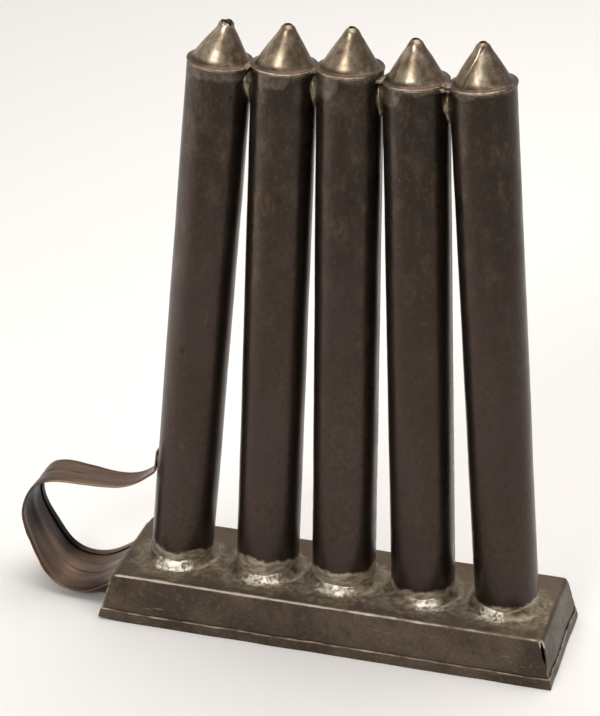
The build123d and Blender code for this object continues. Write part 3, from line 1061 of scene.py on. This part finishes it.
# solder round the strap's tab on the first tube
def makeTubeTabSolder(firstLine):
    pad = tubeTabSolder
    sizeX, sizeY, sizeZ = pad["halfSize"]
    bm = bmesh.new()
    bmesh.ops.create_icosphere(bm, subdivisions=5, radius=1.0)
    middleZ = strap["tabBend"] + strap["tabLength"] * pad["share"]
    height = middleZ - deckHeight
    side = firstLine.at(height).x - tubeRadius(height, firstLine.length) + pad["sunk"]
    for vert in bm.verts:
        x, y, z = vert.co
        wave = 1 + 0.22 * noise.noise(vert.co * 2.1)
        hug = (y * sizeY) ** 2 / 2 / pad["hugRadius"]  # the pad follows the round tube
        x = side + x * sizeX * wave + hug + firstLine.lean * z * sizeZ
        vert.co = Vector((x, y * sizeY * wave, middleZ + z * sizeZ * wave))
    markGrain(bm, 80)
    return finishPiece(bm, "TubeTabSolder", "handle_solder_tube", "solder", None, 70)


trayTabSolder = {"middle": 15.6, "halfSize": (0.42, 21.2, 2.9), "sunk": 0.2, "cuts": 15}


# solder along the strap's wide tab on the tray's end wall
def makeTrayTabSolder():
    tray, pad = trayShell, trayTabSolder
    sizeX, sizeY, sizeZ = pad["halfSize"]
    bm = bmesh.new()
    bmesh.ops.create_cube(bm, size=2.0)
    bmesh.ops.subdivide_edges(bm, edges=bm.edges, cuts=pad["cuts"], use_grid_fill=True)
    bmesh.ops.smooth_vert(bm, verts=bm.verts, factor=0.5,
                          use_axis_x=True, use_axis_y=True, use_axis_z=True)
    left = tray["middle"] - tray["length"] / 2
    for vert in bm.verts:
        x, y, z = vert.co
        wave = 1 + 0.2 * lumps(y * 20, z * 3, 0, 3.0, 2)
        height = pad["middle"] + z * sizeZ * wave
        wall = left - (deckHeight - height) * tray["endSlope"]
        y = y * sizeY * (1 + 0.02 * lumps(z * 3, 0, 0, 1, 2))
        vert.co = Vector((wall - pad["sunk"] + x * sizeX * wave, y, height))
    markGrain(bm, 81)
    return finishPiece(bm, "TrayTabSolder", "handle_solder_tray", "solder", None, 70)


lines = [TubeLine(number) for number in range(1, tubeCount + 1)]
for number, line in enumerate(lines, 1):
    makeTube(number, line)
    makeTip(number, line)
    makeTipBead(number, line)
    makeFootSkirt(number, line)
print("tubes and tips ready")
for number in range(1, tubeCount):
    makeBridge(number, lines[number - 1], lines[number])
makeTray(lines)
for name, (sideX, sideY) in cornerSeam["corners"].items():
    makeCornerSeam(name, sideX, sideY)
print("tray ready")
makeHandle(lines[0])
makeTubeTabSolder(lines[0])
makeTrayTabSolder()
print("handle ready")

studio = {
    "floorSize": 12.0,
    "floorColour": (0.90, 0.885, 0.87),
    "lightColour": (1.0, 0.975, 0.95),
    "overhead": {"at": (0.24, 0.20, 1.7), "look": (0.04, 0.06, 0.0),
                 "size": (2.0, 2.0), "power": 28.6, "spread": 180},
    "key": {"at": (-0.265, -1.03, 0.80), "look": (-0.01, 0.0, 0.235),
            "size": (0.56, 0.55), "power": 0.62, "spread": 40},
    "pool": {"at": (-0.62, -0.16, 0.60), "look": (-0.62, -0.16, 0.0),
             "size": (0.44, 0.44), "power": 1.5, "spread": 54},
    "darkRoom": (0.10, 0.094, 0.088, 1.0),  # behind the viewer
    "brightRoom": (0.55, 0.53, 0.51, 1.0),
    "roomTurns": (-0.75, 0.25),  # where the one passes into the other, from front to back
    "lens": 128.69,
    "camera": (0.25199, -0.86358, 0.55398),
    "cameraRight": (0.96028, 0.27900, 0.00369),
    "cameraUp": (-0.12551, 0.42010, 0.89876),
}


def layFloor():
    bm = bmesh.new()
    bmesh.ops.create_grid(bm, x_segments=1, y_segments=1, size=studio["floorSize"] / 2)
    mesh = bpy.data.meshes.new("Floor")
    bm.to_mesh(mesh)
    bm.free()
    floor = bpy.data.objects.new("Floor", mesh)
    bpy.context.collection.objects.link(floor)
    paper = bpy.data.materials.new("studioPaper")
    paper.use_nodes = True
    shader = paper.node_tree.nodes["Principled BSDF"]
    shader.inputs["Base Color"].default_value = (*studio["floorColour"], 1.0)
    shader.inputs["Roughness"].default_value = 0.75
    shader.inputs["Specular IOR Level"].default_value = 0.15
    mesh.materials.append(paper)


def hangLight(name, lamp):
    light = bpy.data.lights.new(name, "AREA")
    light.shape = "RECTANGLE"
    light.size, light.size_y = lamp["size"]
    light.energy = lamp["power"]
    light.color = studio["lightColour"]
    light.spread = math.radians(lamp["spread"])
    place = bpy.data.objects.new(name, light)
    at, look = Vector(lamp["at"]), Vector(lamp["look"])
    place.location = at
    place.rotation_euler = (look - at).to_track_quat("-Z", "Y").to_euler()
    place.visible_camera = False
    bpy.context.collection.objects.link(place)


def lightRoom():
    world = bpy.data.worlds.new("studioRoom")
    world.use_nodes = True
    tree = world.node_tree
    sky = tree.nodes["Background"]
    sky.inputs["Strength"].default_value = 1.0
    where = tree.nodes.new("ShaderNodeTexCoord")
    split = tree.nodes.new("ShaderNodeSeparateXYZ")
    share = tree.nodes.new("ShaderNodeMapRange")
    share.interpolation_type = "SMOOTHSTEP"
    share.inputs["From Min"].default_value = studio["roomTurns"][0]
    share.inputs["From Max"].default_value = studio["roomTurns"][1]
    shade = tree.nodes.new("ShaderNodeMix")
    shade.data_type = "RGBA"
    shade.inputs[6].default_value = studio["darkRoom"]
    shade.inputs[7].default_value = studio["brightRoom"]
    tree.links.new(where.outputs["Generated"], split.inputs[0])
    tree.links.new(split.outputs["Y"], share.inputs["Value"])
    tree.links.new(share.outputs[0], shade.inputs[0])
    tree.links.new(shade.outputs[2], sky.inputs["Color"])
    bpy.context.scene.world = world


def setCamera():
    right, up = Vector(studio["cameraRight"]), Vector(studio["cameraUp"])
    turn = Matrix((right, up, right.cross(up))).transposed().to_4x4()
    data = bpy.data.cameras.new("camera")
    data.lens = studio["lens"]
    data.sensor_width = 36.0
    data.clip_start, data.clip_end = 0.05, 50.0
    camera = bpy.data.objects.new("camera", data)
    camera.matrix_world = Matrix.Translation(studio["camera"]) @ turn
    bpy.context.collection.objects.link(camera)
    bpy.context.scene.camera = camera


layFloor()
hangLight("overheadBox", studio["overhead"])
hangLight("keyBox", studio["key"])
hangLight("poolBox", studio["pool"])
lightRoom()
setCamera()
bpy.context.scene.view_settings.view_transform = "Standard"
print("studio ready")
